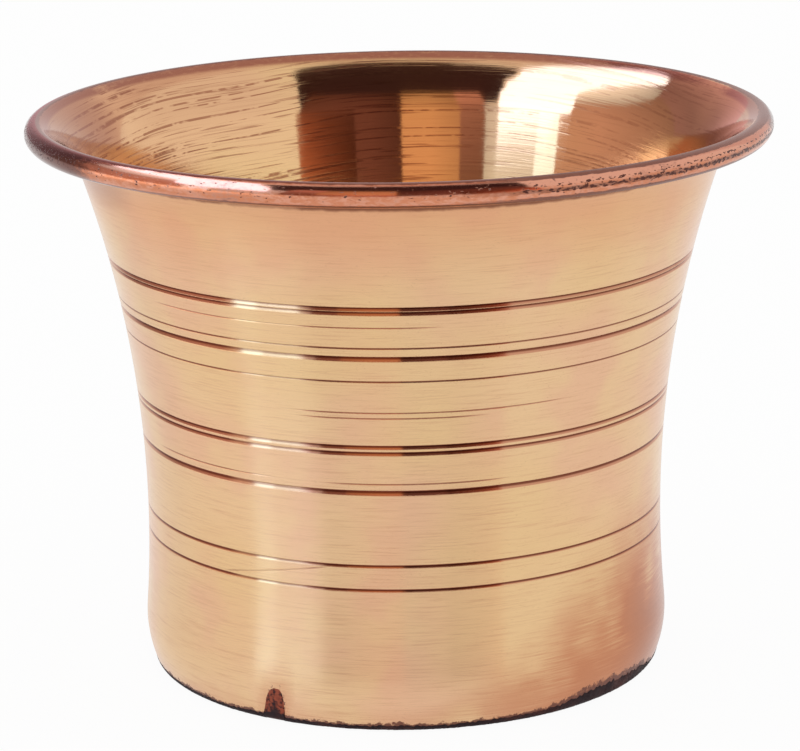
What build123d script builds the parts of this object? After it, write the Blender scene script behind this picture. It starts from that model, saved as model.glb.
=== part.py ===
from build123d import *
from math import acos, asin, atan2, degrees, sqrt, tau
import os

# Panchpatra: a small flared copper water cup for rituals, spun from sheet, standing on its foot.
# Origin at the middle of the resting plane, +Z up the cup's axis. Sections are drawn on the XZ
# plane, with X as the radius and Y as the height. All sizes are in millimetres.

# Wall, as seen from outside
rim_diameter = 76.0  # over the rolled rim
overall_height = 57.4  # from the table to the top of the rolled rim
waist_diameter = 53.4  # the narrowest place of the wall
waist_height = 16.0
lip_depth = 5.9  # from the top of the rim down to where the wall turns out into the lip
lip_reach = 5.734  # from there out to the rim's edge
sheet_thickness = 0.6

# Rolled rim: the sheet is curled outward and under, round a wire
rim_wire_diameter = 1.16
wire_clearance = 0.02  # radial, between the wire and the curl
wire_butt_gap = 0.6  # between the two ends of the bent wire
curl_edge_gap = 0.15  # between the sheet's raw edge and the lip above it

# Foot: the wall is turned in at the bottom, and the base is brazed on top of the flange
foot_round_height = 6.0  # where the wall begins to round in towards the foot
foot_round_radius = 12.0
foot_corner_radius = 1.0  # the tight bend at the table
foot_flange_width = 3.6  # the flat ring that the cup stands on
base_thickness = 0.7
base_side_clearance = 0.15  # between the base's edge and the start of the foot's curve
braze_film = 0.06  # filler between the flange and the base
inner_fillet_reach = 1.3  # filler on the base, in from its edge
inner_fillet_rise = 0.7  # filler up the wall, above the base
under_fillet_reach = 0.5  # filler under the base, in from the flange's edge
under_fillet_drop = 0.4  # filler down the flange's edge

# Marks that the lathe leaves on the base's underside
centre_mark_diameter = 1.6
centre_mark_depth = 0.2
inner_ring_radius = 7.0
middle_ring_radius = 12.5
outer_ring_radius = 18.0

# Turned lines round the outside: where they are, and the width and depth of each kind
upper_pair_height = 43.54
upper_pair_spacing = 0.46
upper_fine_height = 39.7
upper_strong_height = 38.6
middle_fine_height = 36.25
middle_pair_height = 29.13
middle_pair_spacing = 0.66
lower_strong_height = 24.75
lower_medium_height = 17.2
lowest_medium_height = 14.74
strong_line_width = 0.56
strong_line_depth = 0.18
medium_line_width = 0.38
medium_line_depth = 0.09
fine_line_width = 0.22
fine_line_depth = 0.05

# Places worked out from the sizes above
cavity_radius = rim_wire_diameter / 2 + wire_clearance
curl_radius = cavity_radius + sheet_thickness
curl_centre = Vector(rim_diameter / 2 - curl_radius, overall_height - curl_radius)
lip_start = Vector(rim_diameter / 2 - lip_reach, overall_height - lip_depth)
sweep_out = lip_start.X - waist_diameter / 2
sweep_up = lip_start.Y - waist_height
wall_sweep_radius = (sweep_out**2 + sweep_up**2) / (2 * sweep_out)  # one hollow arc from the waist up
sweep_centre = Vector(waist_diameter / 2 + wall_sweep_radius, waist_height)
base_bottom = sheet_thickness + braze_film
base_top = base_bottom + base_thickness


def direction(start, end):
    """Angle, from 0 to 360 degrees, from the +X side to the way from one point to another."""
    way = end - start
    return degrees(atan2(way.Y, way.X)) % 360


def outer_face(height):
    """Point on the outside of the wall's sweep at a height, and the unit vector out of it."""
    rise = height - waist_height
    point = Vector(sweep_centre.X - sqrt(wall_sweep_radius**2 - rise**2), height)
    return point, (sweep_centre - point).normalized()


def cut_line(face, outward, width, depth):
    """Cut a round-bottomed turned line into the section at a point of its outline."""
    tool_radius = (width**2 / 4 + depth**2) / (2 * depth)
    with Locations(face + outward * (tool_radius - depth)):
        Circle(tool_radius, mode=Mode.SUBTRACT)


# Foot: the sweep runs in line onto a wide round, and that onto the tight corner at the table.
round_start, round_outward = outer_face(foot_round_height)
round_centre = round_start - round_outward * foot_round_radius
corner_drop = round_centre.Y - foot_corner_radius
foot_centre = Vector(
    round_centre.X + sqrt((foot_round_radius - foot_corner_radius) ** 2 - corner_drop**2),
    foot_corner_radius,
)
flange_edge = foot_centre.X - foot_flange_width
base_edge = foot_centre.X - base_side_clearance

# Lip: it leaves the sweep in line with it, and its upper face runs in line onto the curl.
lip_outward = (sweep_centre - lip_start).normalized()
reach = lip_start - lip_outward * sheet_thickness - curl_centre
upper_radius = (curl_radius**2 - reach.length**2) / (2 * (reach.dot(lip_outward) + curl_radius))
lip_radius = upper_radius - sheet_thickness
lip_centre = lip_start + lip_outward * lip_radius

# Curl: it goes on round the wire until the sheet's raw edge is just short of the lip.
centres_apart = (curl_centre - lip_centre).length
edge_cosine = (centres_apart**2 + curl_radius**2 - lip_radius**2) / (2 * centres_apart * curl_radius)
curl_turn = degrees(acos(edge_cosine) - curl_edge_gap / curl_radius) + 180

# Where each arc of the wall's section begins, as an angle about its own centre
round_begins = direction(round_centre, foot_centre)
sweep_begins = direction(sweep_centre, round_start)
lip_begins = direction(lip_centre, lip_start)
round_turn = sweep_begins + 180 - round_begins
curl_begins = direction(lip_centre, curl_centre)


def sheet_face(depth):
    """Draw the face of the sheet at a depth in from its outside, and give its two ends."""
    flange = Line((flange_edge, depth), (foot_centre.X, depth))
    CenterArc(foot_centre, foot_corner_radius - depth, -90, round_begins - 270)
    CenterArc(round_centre, foot_round_radius - depth, round_begins, round_turn)
    CenterArc(sweep_centre, wall_sweep_radius + depth, sweep_begins, lip_begins - sweep_begins)
    CenterArc(lip_centre, lip_radius + depth, lip_begins, curl_begins - lip_begins)
    curl = CenterArc(curl_centre, cavity_radius + depth, curl_begins, -curl_turn)
    return flange @ 0, curl @ 1


with BuildPart() as wall:
    with BuildSketch(Plane.XZ):
        with BuildLine():
            foot_outside, rim_outside = sheet_face(0)
            foot_inside, rim_inside = sheet_face(sheet_thickness)
            Line(foot_outside, foot_inside)
            Line(rim_outside, rim_inside)
        make_face()
        for height, spacing in (
            (upper_pair_height, upper_pair_spacing),
            (middle_pair_height, middle_pair_spacing),
        ):
            for side in (-0.5, 0.5):
                cut_line(*outer_face(height + side * spacing), strong_line_width, strong_line_depth)
        for height in (upper_strong_height, lower_strong_height):
            cut_line(*outer_face(height), strong_line_width, strong_line_depth)
        for height in (lower_medium_height, lowest_medium_height):
            cut_line(*outer_face(height), medium_line_width, medium_line_depth)
        for height in (upper_fine_height, middle_fine_height):
            cut_line(*outer_face(height), fine_line_width, fine_line_depth)
    revolve(axis=Axis.Z)
wall.part.label = "wall"

with BuildPart() as rim_wire:
    with BuildSketch(Plane.XZ):
        with Locations(curl_centre):
            Circle(rim_wire_diameter / 2)
    revolve(axis=Axis.Z, revolution_arc=360 * (1 - wire_butt_gap / (tau * curl_centre.X)))
rim_wire.part.label = "rim_wire"

with BuildPart() as base_disc:
    with BuildSketch(Plane.XZ):
        with Locations((0, base_bottom)):
            Rectangle(base_edge, base_thickness, align=(Align.MIN, Align.MIN))
        for radius in (inner_ring_radius, middle_ring_radius, outer_ring_radius):
            cut_line(Vector(radius, base_bottom), Vector(0, -1), fine_line_width, fine_line_depth)
        with BuildLine():
            Polyline(
                (0, base_bottom),
                (centre_mark_diameter / 2, base_bottom),
                (0, base_bottom + centre_mark_depth),
                close=True,
            )
        make_face(mode=Mode.SUBTRACT)
    revolve(axis=Axis.Z)
base_disc.part.label = "base_disc"

# The filler creeps through the lap and stands as a hollow fillet on both sides of the base.
corner_radius = foot_corner_radius - sheet_thickness
round_radius = foot_round_radius - sheet_thickness
fillet_drop = round_centre.Y - (base_top + inner_fillet_rise)
fillet_turn = 360 - degrees(asin(fillet_drop / round_radius)) - round_begins

with BuildPart() as base_braze:
    with BuildSketch(Plane.XZ):
        with BuildLine():
            flange_top = Line((flange_edge, sheet_thickness), (foot_centre.X, sheet_thickness))
            CenterArc(foot_centre, corner_radius, -90, round_begins - 270)
            wall_side = CenterArc(round_centre, round_radius, round_begins, fillet_turn)
            inner_toe = (base_edge - inner_fillet_reach, base_top)
            TangentArc(inner_toe, wall_side @ 1, tangent=(1, 0))
            Line(inner_toe, (base_edge, base_top))
            Line((base_edge, base_top), (base_edge, base_bottom))
            under_toe = (flange_edge - under_fillet_reach, base_bottom)
            Line((base_edge, base_bottom), under_toe)
            under_edge = (flange_edge, sheet_thickness - under_fillet_drop)
            TangentArc(under_toe, under_edge, tangent=(1, 0))
            Line(under_edge, flange_top @ 0)
        make_face()
    revolve(axis=Axis.Z)
base_braze.part.label = "base_braze"

os.makedirs("parts", exist_ok=True)
export_step(wall.part, "parts/wall.step")
export_step(rim_wire.part, "parts/rim_wire.step")
export_step(base_disc.part, "parts/base_disc.step")
export_step(base_braze.part, "parts/base_braze.step")

for piece in (wall, rim_wire, base_disc, base_braze):
    box = piece.part.bounding_box()
    print(f"{piece.part.label}: {piece.part.volume:.2f} mm3, {box.size.X:.2f} mm across")
print(f"foot ring from {flange_edge:.2f} to {foot_centre.X:.2f} mm, base edge {base_edge:.2f} mm")
print(f"lip radius {lip_radius:.2f} mm, curl turn {curl_turn:.1f} degrees")
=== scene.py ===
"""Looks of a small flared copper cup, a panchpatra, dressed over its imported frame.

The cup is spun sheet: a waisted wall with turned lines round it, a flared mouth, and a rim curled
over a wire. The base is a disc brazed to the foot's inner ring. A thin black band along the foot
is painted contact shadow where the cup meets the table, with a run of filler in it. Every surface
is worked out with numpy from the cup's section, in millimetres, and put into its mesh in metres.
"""

from __future__ import annotations

import logging
import math
from dataclasses import dataclass
from enum import Enum

import bpy
import numpy as np
from mathutils import Matrix, Vector

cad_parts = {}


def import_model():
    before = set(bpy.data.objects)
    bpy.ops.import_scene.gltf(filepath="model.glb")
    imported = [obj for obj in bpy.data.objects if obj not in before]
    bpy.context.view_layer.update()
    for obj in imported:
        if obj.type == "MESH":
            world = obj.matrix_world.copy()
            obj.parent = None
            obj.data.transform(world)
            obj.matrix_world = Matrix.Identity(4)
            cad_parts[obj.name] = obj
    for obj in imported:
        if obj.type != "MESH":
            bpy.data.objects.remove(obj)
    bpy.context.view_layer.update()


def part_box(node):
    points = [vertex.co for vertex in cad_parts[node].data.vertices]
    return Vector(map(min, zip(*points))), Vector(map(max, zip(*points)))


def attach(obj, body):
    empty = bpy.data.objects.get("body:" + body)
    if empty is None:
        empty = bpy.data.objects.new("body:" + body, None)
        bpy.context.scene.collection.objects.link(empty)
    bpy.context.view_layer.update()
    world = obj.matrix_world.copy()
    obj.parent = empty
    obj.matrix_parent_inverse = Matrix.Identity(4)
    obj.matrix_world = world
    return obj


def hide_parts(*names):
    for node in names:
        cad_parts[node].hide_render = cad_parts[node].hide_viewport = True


LOG = logging.getLogger("panchpatra")
MM = 0.001
ROOT = "root"
Colour = tuple[float, float, float]


class Zone(Enum):
    """The attributes that say where on the cup a point is."""

    ALONG = "along"  # millimetres along the section
    CUT = "cut"  # 1 in a turned line
    DIRT = "dirt"  # 1 where polish and soot lie in a turned line; the material adds painted shade for the crevice under the rim
    BEAD = "bead"  # 1 on the rolled rim
    INSIDE = "inside"  # 1 on the inner face
    HEAT = "reddening"  # 1 where the brazing flame has reddened the copper
    FOOT_SHADE_AND_SOOT = "soot"  # painted shade: 1 at the shadow band along the foot, falling to 0 a little above it; soot round the filler run
    PATINA = "patina"  # 1 where handling has browned the rim; at the left end, on the lip's inside, partly a painted reflection
    PITS = "pits"  # 1 where the rim's roll is pitted
    ROLL = "roll"  # degrees round the rim's roll, from its top outwards
    CRUST = "crust"  # 0 on the thin black band of painted shadow along the foot, and 1 to 2 from the run's middle to its edge
    GLARE = "glare"  # light that the floor throws back towards the cup
    GLOW = "glow"  # brightness of a reflection card


class Slot(Enum):
    """The record's material slots."""

    WALL = "buffed_copper"
    WIRE = "wire_copper"
    BASE = "base_copper"
    BRAZE = "braze_filler"


def smooth_step(low: float, high: float, value: np.ndarray) -> np.ndarray:
    """Rise smoothly from 0 at low to 1 at high.

    Args:
        low: value at which the step starts.
        high: value at which the step ends.
        value: numbers to step.

    Returns:
        t squared times (3 - 2 t), where t is the share of the way from low to high.
    """
    share = np.clip((value - low) / (high - low), 0.0, 1.0)
    return share * share * (3.0 - 2.0 * share)


def ripple(angle: np.ndarray, seed: int, waves: tuple[int, ...]) -> np.ndarray:
    """Uneven wave round the cup that closes on itself.

    Args:
        angle: angles round the axis, in radians.
        seed: picks the waves' phases and heights.
        waves: how many times each wave goes up and down in one turn.

    Returns:
        The sum of sines with whole numbers of waves, about -1 to 1.
    """
    dice = np.random.default_rng(seed)
    total = np.zeros_like(angle)
    for count in waves:
        total += dice.uniform(0.5, 1.0) * np.sin(count * angle + dice.uniform(0.0, math.tau))
    return total / (0.6 * len(waves))


@dataclass
class Face:
    """A run of points along the section, with the way out of the sheet at each."""

    points: np.ndarray
    normals: np.ndarray

    @staticmethod
    def arc(centre: np.ndarray, radius: float, angles: np.ndarray, hollow: bool) -> Face:
        """Points of a circle at given angles.

        Args:
            centre: the circle's centre, as radius and height.
            radius: the circle's radius.
            angles: angles in radians from the outward side.
            hollow: whether the way out points at the centre.

        Returns:
            The face: centre plus radius times the direction of each angle.
        """
        ways = np.stack([np.cos(angles), np.sin(angles)], axis=1)
        return Face(centre + radius * ways, -ways if hollow else ways)

    @staticmethod
    def straight(start: tuple[float, float], end: tuple[float, float], steps: int) -> Face:
        """Evenly spaced points of a straight run, whose way out lies on its right."""
        share = np.linspace(0.0, 1.0, steps)[:, None]
        way = np.subtract(end, start) / np.linalg.norm(np.subtract(end, start))
        points = np.array(start) * (1.0 - share) + np.array(end) * share
        return Face(points, np.tile([way[1], -way[0]], (steps, 1)))

    def shifted(self, depth: float) -> Face:
        """The face that lies a depth behind this one, run backwards and facing the other way."""
        return Face((self.points - depth * self.normals)[::-1], -self.normals[::-1])


def chain(faces: list[Face]) -> Face:
    """Join faces end to end, and drop the points that two of them share."""
    points = np.concatenate([face.points for face in faces])
    normals = np.concatenate([face.normals for face in faces])
    steps = np.linalg.norm(np.diff(points, axis=0), axis=1)
    keep = np.concatenate([[True], steps > 1e-4])
    return Face(points[keep], normals[keep])


@dataclass(frozen=True)
class Tool:
    """The cut that one tool leaves: steep above its deepest place, and a long flank below it."""

    width: float
    rows: tuple[float, ...]  # shares of the width, from the top edge, that need a row of points
    dirty: float = 0.42  # share of the width, below the deepest place, that is dark with dirt
    steep: float = 0.14  # share of the width above the deepest place
    facing: float = 18.0  # degrees that the flank faces up

    def depth_at(self, share: np.ndarray, lean: np.ndarray) -> np.ndarray:
        """Depth of the cut: it falls steeply, and rises in a straight line along the flank.

        Args:
            share: share of the width, from the top edge down.
            lean: angle that the wall faces down there, in radians.

        Returns:
            The depth in millimetres, with the flank's slope the tangent of its facing plus the
            lean, so that all the lines look up at the same part of the room.
        """
        flank = self.width * (1.0 - self.steep) * np.tan(lean + math.radians(self.facing))
        rising = (1.0 - share) / (1.0 - self.steep)
        return flank * np.clip(np.minimum(share / self.steep, rising), 0.0, 1.0)

    def dirt_at(self, share: np.ndarray) -> np.ndarray:
        """Dirt at a share of the width: 1 in the deep part, falling to 0 on the flank."""
        end = self.steep + self.dirty
        return smooth_step(0.0, 0.1, share) * smooth_step(end + 0.12, end - 0.06, share)


ROWS = (-0.08, 0.0, 0.14, 0.28, 0.45, 0.65, 0.85, 1.0, 1.10)
STRONG = Tool(0.58, ROWS)
PAIRED = Tool(0.45, ROWS)
MEDIUM = Tool(0.36, (-0.10, 0.0, 0.14, 0.32, 0.52, 0.72, 1.0, 1.12))
FINE = Tool(0.21, (-0.15, 0.0, 0.16, 0.55, 1.0, 1.15))
FAINT = Tool(0.17, (-0.15, 0.0, 0.16, 0.55, 1.0, 1.15), dirty=0.3, facing=14.0)


@dataclass
class TurnedLine:
    """A line that the tool turned into the outside of the wall."""

    height: float
    tool: Tool
    start: float = -180.0  # degrees round the cup from the front, towards the right
    end: float = 180.0
    rise: float = 0.0  # climb from start to end
    fade: float = 9.0  # degrees over which an open end runs out

    def share_at(self, angle: np.ndarray, height: np.ndarray) -> np.ndarray:
        """Share of the width, from the line's top edge down, at places on the wall."""
        middle = self.height + self.rise * (angle - self.start) / (self.end - self.start)
        return (middle - height) / self.tool.width + 0.5

    def strength_at(self, angle: np.ndarray) -> np.ndarray:
        """How much of the cut is there at an angle: 1, running out to 0 at an open end."""
        if self.end - self.start >= 360.0:
            return np.ones_like(angle)
        near_end = np.minimum(angle - self.start, self.end - angle)
        return smooth_step(0.0, self.fade, near_end)

    def heights(self) -> np.ndarray:
        """Heights at which the wall needs a row of points for this line."""
        half = self.tool.width / 2.0
        if self.rise:
            return np.arange(self.height - half, self.height + self.rise + half, half * 0.7)
        return self.height + half - np.array(self.tool.rows) * self.tool.width


def turned_lines() -> list[TurnedLine]:
    """The full lines, as the frame has them, and the short and fading ones between them."""
    return [
        TurnedLine(43.77, PAIRED),
        TurnedLine(43.31, PAIRED),
        TurnedLine(41.82, FAINT, start=-56.0, end=9.0),
        TurnedLine(39.7, FINE),
        TurnedLine(38.6, STRONG),
        TurnedLine(36.25, FINE),
        TurnedLine(33.02, FAINT, start=-26.0, end=36.0),
        TurnedLine(32.45, FAINT, start=-24.0, end=19.0),
        TurnedLine(29.46, PAIRED),
        TurnedLine(28.8, PAIRED),
        TurnedLine(25.72, FAINT, start=-66.0, end=-25.0),
        TurnedLine(25.66, FAINT, start=-19.0, end=24.0),
        TurnedLine(24.75, STRONG),
        TurnedLine(17.2, MEDIUM),
        TurnedLine(14.9, FAINT, start=-43.0, end=-15.0, rise=2.2, fade=5.0),
        TurnedLine(14.74, MEDIUM),
        TurnedLine(41.1, FAINT, start=118.0, end=171.0),
        TurnedLine(32.7, FAINT, start=-152.0, end=-88.0),
        TurnedLine(20.9, FAINT, start=96.0, end=158.0),
    ]


@dataclass
class CupSection:
    """The wall's section, drawn with the same arcs as the frame's wall, in millimetres."""

    rim_radius: float
    height: float
    wire_radius: float
    waist_radius: float = 26.7
    waist_height: float = 16.0
    lip_depth: float = 5.9
    lip_reach: float = 5.734
    sheet: float = 0.6
    wire_clearance: float = 0.02
    edge_gap: float = 0.15
    round_height: float = 6.0
    round_radius: float = 12.0
    foot_corner: float = 1.0
    flange_width: float = 3.6

    @classmethod
    def from_frame(cls) -> CupSection:
        """Read the sizes that the frame knows from its nodes' boxes."""
        low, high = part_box("wall")
        wire_low, wire_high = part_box("rim_wire")
        return cls(
            rim_radius=high.x / MM,
            height=high.z / MM,
            wire_radius=(wire_high.z - wire_low.z) / 2.0 / MM,
        )

    def __post_init__(self) -> None:
        """Work out the arcs' centres and where each begins."""
        self.cavity = self.wire_radius + self.wire_clearance
        self.curl = self.cavity + self.sheet
        self.curl_centre = np.array([self.rim_radius - self.curl, self.height - self.curl])
        lip_start = np.array([self.rim_radius - self.lip_reach, self.height - self.lip_depth])
        out, up = lip_start - (self.waist_radius, self.waist_height)
        self.sweep = (out**2 + up**2) / (2.0 * out)
        self.sweep_centre = np.array([self.waist_radius + self.sweep, self.waist_height])
        outward = (self.sweep_centre - lip_start) / self.sweep
        reach = lip_start - outward * self.sheet - self.curl_centre
        upper = (self.curl**2 - reach @ reach) / (2.0 * (reach @ outward + self.curl))
        self.lip = upper - self.sheet
        self.lip_centre = lip_start + outward * self.lip
        drop = self.round_height - self.waist_height
        across = math.sqrt(self.sweep**2 - drop**2)
        round_start = np.array([self.sweep_centre[0] - across, self.round_height])
        outward = (self.sweep_centre - round_start) / self.sweep
        self.round_centre = round_start - outward * self.round_radius
        reach = self.round_radius - self.foot_corner
        across = math.sqrt(reach**2 - (self.round_centre[1] - self.foot_corner) ** 2)
        self.foot_centre = np.array([self.round_centre[0] + across, self.foot_corner])
        self.flange_edge = self.foot_centre[0] - self.flange_width
        self.round_begins = self.bearing(self.round_centre, self.foot_centre) - math.tau
        self.sweep_begins = self.bearing(self.sweep_centre, round_start)
        self.lip_begins = self.bearing(self.lip_centre, lip_start)
        self.curl_begins = self.bearing(self.lip_centre, self.curl_centre)
        apart = float(np.linalg.norm(self.curl_centre - self.lip_centre))
        cosine = (apart**2 + self.curl**2 - self.lip**2) / (2.0 * apart * self.curl)
        self.curl_turn = math.pi + math.acos(cosine) - self.edge_gap / self.curl

    @staticmethod
    def bearing(start: np.ndarray, end: np.ndarray) -> float:
        """Angle from 0 to a full turn, in radians, of the way from one point to another."""
        return math.atan2(end[1] - start[1], end[0] - start[0]) % math.tau

    def sweep_angle(self, heights: np.ndarray) -> np.ndarray:
        """Angle about the sweep's centre of points of the outside at given heights."""
        return math.pi - np.arcsin((heights - self.waist_height) / self.sweep)

    def lean(self, heights: np.ndarray) -> np.ndarray:
        """Angle that the outside faces down at heights on the sweep, in radians."""
        return np.arcsin(np.clip((heights - self.waist_height) / self.sweep, -0.1, 0.31))

    def outside(self, heights: np.ndarray) -> Face:
        """Outer face of the sheet, from the flange's edge to the raw edge of the curl.

        Args:
            heights: where the long sweep needs rows.

        Returns:
            The face, with rows close together on the foot's corner, the lip and the curl.
        """
        low = self.round_height
        high = self.lip_centre[1] + self.lip * math.sin(self.lip_begins)
        rows = heights[(heights > low + 0.02) & (heights < high - 0.02)]
        rows = np.concatenate([[low], rows, [high]])
        curl_end = self.curl_begins - self.curl_turn
        corner = np.linspace(-math.pi / 2.0, self.round_begins, 10)
        rounding = np.linspace(self.round_begins, self.sweep_begins - math.pi, 12)
        lip = np.linspace(self.lip_begins, self.curl_begins, 19)
        turns = np.linspace(self.curl_begins, curl_end, 22)
        return chain(
            [
                Face.straight((self.flange_edge, 0.0), (self.foot_centre[0], 0.0), 4),
                Face.arc(self.foot_centre, self.foot_corner, corner, False),
                Face.arc(self.round_centre, self.round_radius, rounding, False),
                Face.arc(self.sweep_centre, self.sweep, self.sweep_angle(rows), True),
                Face.arc(self.lip_centre, self.lip, lip, True),
                Face.arc(self.curl_centre, self.cavity, turns, True),
            ]
        )

    def inside(self, rows: int) -> Face:
        """Inner face of the sheet, from the raw edge of the curl back to the flange's edge."""
        curl_end = self.curl_begins - self.curl_turn
        corner = np.linspace(-math.pi / 2.0, self.round_begins, 7)
        rounding = np.linspace(self.round_begins, self.sweep_begins - math.pi, 8)
        sweep = np.linspace(self.sweep_begins, self.lip_begins, rows)
        lip = np.linspace(self.lip_begins, self.curl_begins, 21)
        turns = np.linspace(self.curl_begins, curl_end, 44)
        ahead = chain(
            [
                Face.straight((self.flange_edge, 0.0), (self.foot_centre[0], 0.0), 3),
                Face.arc(self.foot_centre, self.foot_corner, corner, False),
                Face.arc(self.round_centre, self.round_radius, rounding, False),
                Face.arc(self.sweep_centre, self.sweep, sweep, True),
                Face.arc(self.lip_centre, self.lip, lip, True),
                Face.arc(self.curl_centre, self.cavity, turns, True),
            ]
        )
        return ahead.shifted(self.sheet)

    def foot_face(self, height: np.ndarray, inside: float = 0.0) -> tuple[np.ndarray, ...]:
        """Face of the foot, from the table up the tight corner and the wide round above it.

        Args:
            height: heights on the outside of the sheet, from 0 up to where the sweep begins.
            inside: depth of the wanted face in from the outside.

        Returns:
            Radius, height, and the radial and upright parts of the way out, at each height.
        """
        corner_end = self.foot_corner * (1.0 + math.sin(self.round_begins))
        low = np.arcsin(np.clip(height / self.foot_corner - 1.0, -1.0, 1.0))
        high = np.arcsin(np.clip((height - self.round_centre[1]) / self.round_radius, -1.0, 1.0))
        turned = np.where(height < corner_end, low, high)
        on_corner = self.foot_centre[0] + (self.foot_corner - inside) * np.cos(turned)
        on_round = self.round_centre[0] + (self.round_radius - inside) * np.cos(turned)
        radius = np.where(height < corner_end, on_corner, on_round)
        return radius, height - inside * np.sin(turned), np.cos(turned), np.sin(turned)


@dataclass(frozen=True)
class FootEdge:
    """How far up the foot the painted shadow band and the run of filler reach, all round the cup."""

    run_angle: float = -30.3  # the run of filler, in degrees from the front
    run_half_width: float = 2.5
    run_height: float = 4.0
    run_lean: float = 0.4  # degrees that it moves to the right with each millimetre up
    bulge: float = 2.7  # 2 is an oval, and more is nearer to an oblong

    def shadow_band_top(self, degrees: np.ndarray) -> np.ndarray:
        """Height in millimetres that the black band of painted shade reaches on the foot at each
        angle.

        Args:
            degrees: angles round the cup from the front, towards the right.

        Returns:
            A ragged edge: low nearly all round, thicker to the right of the front and in two
            places behind.
        """
        angle = np.radians(degrees)
        fine = ripple(angle, 3, (57, 83, 131, 190, 233, 300))
        broad = ripple(angle, 8, (4, 7, 13, 22))
        thick = 1.05 * np.exp(-(((degrees - 53.0) / 17.0) ** 4))
        behind = 0.6 * np.exp(-(((np.abs(degrees) - 140.0) / 14.0) ** 4))
        top = 0.72 + 0.12 * broad + thick + behind
        return np.maximum(top + fine * (0.14 + 0.16 * thick + 0.2 * behind), 0.12)

    def run_reach(self, degrees: np.ndarray, heights: np.ndarray) -> np.ndarray:
        """Distance from the middle of the run's foot: 1 at its edge, half an oval."""
        leaning = degrees - self.run_angle - self.run_lean * heights
        across = np.abs(leaning) / self.run_half_width
        return (across**self.bulge + (heights / self.run_height) ** self.bulge) ** (1.0 / self.bulge)

    def run_top(self, degrees: np.ndarray) -> np.ndarray:
        """Height of the run of filler left of the front: half an oval above the foot's edge."""
        across = np.abs(degrees - self.run_angle) / self.run_half_width
        left = np.clip(1.0 - across**self.bulge, 0.0, 1.0)
        return self.run_height * left ** (1.0 / self.bulge)


def grid_mesh(
    name: str, points: np.ndarray, closed_rows: bool, closed_columns: bool = True
) -> bpy.types.Object:
    """Make a mesh from a grid of points, with quads between neighbours.

    Args:
        name: the piece's name.
        points: rows by columns by three, in millimetres.
        closed_rows: whether the last row joins the first.
        closed_columns: whether the last column joins the first.

    Returns:
        The object at the origin, with its place in its mesh and its faces pointing outwards.
    """
    rows, columns = points.shape[:2]
    row = np.arange(rows if closed_rows else rows - 1)
    column = np.arange(columns if closed_columns else columns - 1)
    row, column = (part.ravel() for part in np.meshgrid(row, column, indexing="ij"))
    next_row, next_column = (row + 1) % rows, (column + 1) % columns
    quads = np.stack(
        [
            row * columns + column,
            row * columns + next_column,
            next_row * columns + next_column,
            next_row * columns + column,
        ],
        axis=1,
    )
    flat = points.reshape(-1, 3) * MM
    a, b, c = (flat[quads[:, corner]] for corner in (0, 1, 2))
    d = flat[quads[:, 3]]
    volume = np.einsum("ij,ij->", a, np.cross(b, c)) + np.einsum("ij,ij->", a, np.cross(c, d))
    if volume < 0.0:
        quads = quads[:, ::-1]
    return mesh_object(name, flat, quads)


def mesh_object(name: str, points: np.ndarray, quads: np.ndarray) -> bpy.types.Object:
    """Put points in metres and quads into a new, smooth mesh object at the origin."""
    mesh = bpy.data.meshes.new(name)
    mesh.vertices.add(len(points))
    mesh.vertices.foreach_set("co", points.astype(np.float32).ravel())
    mesh.loops.add(quads.size)
    mesh.loops.foreach_set("vertex_index", quads.astype(np.int32).ravel())
    mesh.polygons.add(len(quads))
    mesh.polygons.foreach_set("loop_start", np.arange(0, quads.size, 4, dtype=np.int32))
    mesh.polygons.foreach_set("use_smooth", np.ones(len(quads), dtype=bool))
    mesh.update(calc_edges=True)
    mesh.validate()
    piece = bpy.data.objects.new(name, mesh)
    bpy.context.scene.collection.objects.link(piece)
    return piece


def set_zone(piece: bpy.types.Object, zone: Zone, values: np.ndarray) -> None:
    """Store one number per point of a piece, for its material to read."""
    attribute = piece.data.attributes.new(zone.value, "FLOAT", "POINT")
    attribute.data.foreach_set("value", values.astype(np.float32).ravel())


def spin(radius: np.ndarray, height: np.ndarray, angle: np.ndarray) -> np.ndarray:
    """Carry points of the section round the axis.

    Args:
        radius: distance from the axis.
        height: height above the table.
        angle: angle from the front, towards the right, in radians.

    Returns:
        Points at x = radius sin(angle), y = -radius cos(angle), z = height.
    """
    radius, height, angle = np.broadcast_arrays(radius, height, angle)
    return np.stack([radius * np.sin(angle), -radius * np.cos(angle), height], axis=-1)


class Signal:
    """A number or a colour that varies over a surface: a node's output with arithmetic."""

    def __init__(self, bench: Bench, socket: bpy.types.NodeSocket) -> None:
        """Keep the bench that makes nodes, and the output."""
        self.bench = bench
        self.socket = socket

    def _math(self, operation: str, *values: Signal | float) -> Signal:
        """Add one Math node with this operation."""
        return self.bench.node("ShaderNodeMath", {"operation": operation}, dict(enumerate(values)))

    def __add__(self, other: Signal | float) -> Signal:
        """This plus other."""
        return self._math("ADD", self, other)

    def __sub__(self, other: Signal | float) -> Signal:
        """This less other."""
        return self._math("SUBTRACT", self, other)

    def __rsub__(self, other: float) -> Signal:
        """Other less this."""
        return self._math("SUBTRACT", other, self)

    def __mul__(self, other: Signal | float) -> Signal:
        """This times other."""
        return self._math("MULTIPLY", self, other)

    def __truediv__(self, other: Signal | float) -> Signal:
        """This over other."""
        return self._math("DIVIDE", self, other)

    __radd__ = __add__
    __rmul__ = __mul__

    def __abs__(self) -> Signal:
        """Distance from zero."""
        return self._math("ABSOLUTE", self)

    def larger(self, other: Signal | float) -> Signal:
        """The larger of this and other."""
        return self._math("MAXIMUM", self, other)

    def step(self, low: float, high: float) -> Signal:
        """Rise smoothly from 0 at low to 1 at high, or fall if high is the smaller."""
        falls = high < low
        ends = (high, low) if falls else (low, high)
        stepped = self.bench.node(
            "ShaderNodeMapRange",
            {"interpolation_type": "SMOOTHSTEP"},
            {"Value": self, "From Min": ends[0], "From Max": ends[1]},
        )
        return 1.0 - stepped if falls else stepped


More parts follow.
